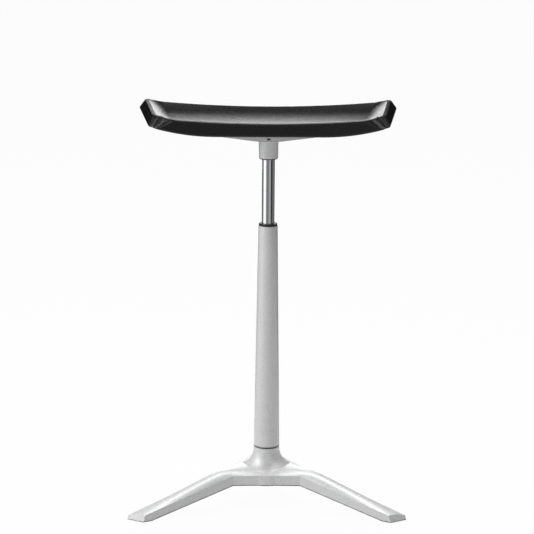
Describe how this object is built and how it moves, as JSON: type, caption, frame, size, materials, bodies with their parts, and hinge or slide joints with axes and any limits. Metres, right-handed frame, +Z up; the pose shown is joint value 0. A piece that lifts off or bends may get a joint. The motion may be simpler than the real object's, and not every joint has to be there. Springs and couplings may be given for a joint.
{
  "type": "perch stool",
  "caption": "Height-adjustable perch stool: moulded saddle seat with turned-up ends on a sliding, turning column over a cast star base.",
  "frame": {"origin": "on the column's axis at floor level, where the feet stand", "axes": "+Z up along the column, -Y towards the seat's front, +X towards the right as seen from the front"},
  "size_m": [0.4852, 0.4073, 0.7072],
  "materials": {
    "silver_casting": "satin",
    "silver_tube": "satin",
    "chrome": "polished",
    "black_plastic": "satin",
    "seat_skin": "matte",
    "zinc_steel": "satin",
    "bearing_steel": "gloss",
    "turned_aluminium": "satin",
    "black_rubber": "matte"
  },
  "bodies": {
    "base": {"base_casting": "silver_casting", "glide_rear": "black_plastic", "glide_left": "black_plastic", "glide_right": "black_plastic", "tie_bolt": "zinc_steel", "tie_washer": "zinc_steel", "spacer_ring": "black_plastic", "foot_plug": "zinc_steel", "column_tube": "silver_tube", "guide_bush": "black_plastic", "rod_seat_plate": "zinc_steel", "lower_race": "bearing_steel", "bearing_balls": "bearing_steel", "bearing_cage": "black_plastic"},
    "rod": {"upper_race": "bearing_steel", "piston_rod": "chrome", "retaining_clip": "zinc_steel", "clip_washer": "zinc_steel", "rubber_buffer": "black_rubber", "piston": "turned_aluminium", "piston_ring": "black_rubber", "piston_nut": "zinc_steel"},
    "seat": {"gas_cylinder": "chrome", "rod_guide": "turned_aluminium", "rod_seal": "black_rubber", "seat_bracket": "silver_casting", "bracket_screws": "zinc_steel", "lever_pin": "zinc_steel", "seat_pad": "seat_skin", "seat_plate": "zinc_steel", "seat_inserts": "zinc_steel"},
    "lever": {"release_lever": "zinc_steel", "lever_grip": "black_plastic"},
    "valve": {"valve_pin": "bearing_steel"}
  },
  "joints": [
    {"name": "swivel", "type": "hinge", "parent": "base", "child": "rod", "pos_m": [0, 0, 0.15], "axis": [0, 0, 1], "continuous": true},
    {"name": "lift", "type": "slide", "parent": "rod", "child": "seat", "axis": [0, 0, 1], "range_m": [-0.11, 0.09]},
    {"name": "lever_tilt", "type": "hinge", "parent": "seat", "child": "lever", "pos_m": [0, 0.022, 0.661], "axis": [1, 0, 0], "range_deg": [0, 6], "stiffness_Nm_per_rad": 3, "springref_deg": -8.59},
    {"name": "valve_press", "type": "slide", "parent": "seat", "child": "valve", "axis": [0, 0, 1], "range_m": [-0.0027, 0]}
  ],
  "couplings": [
    {"joint": "valve_press", "follows": "lever_tilt", "m_per_rad": -0.024}
  ]
}
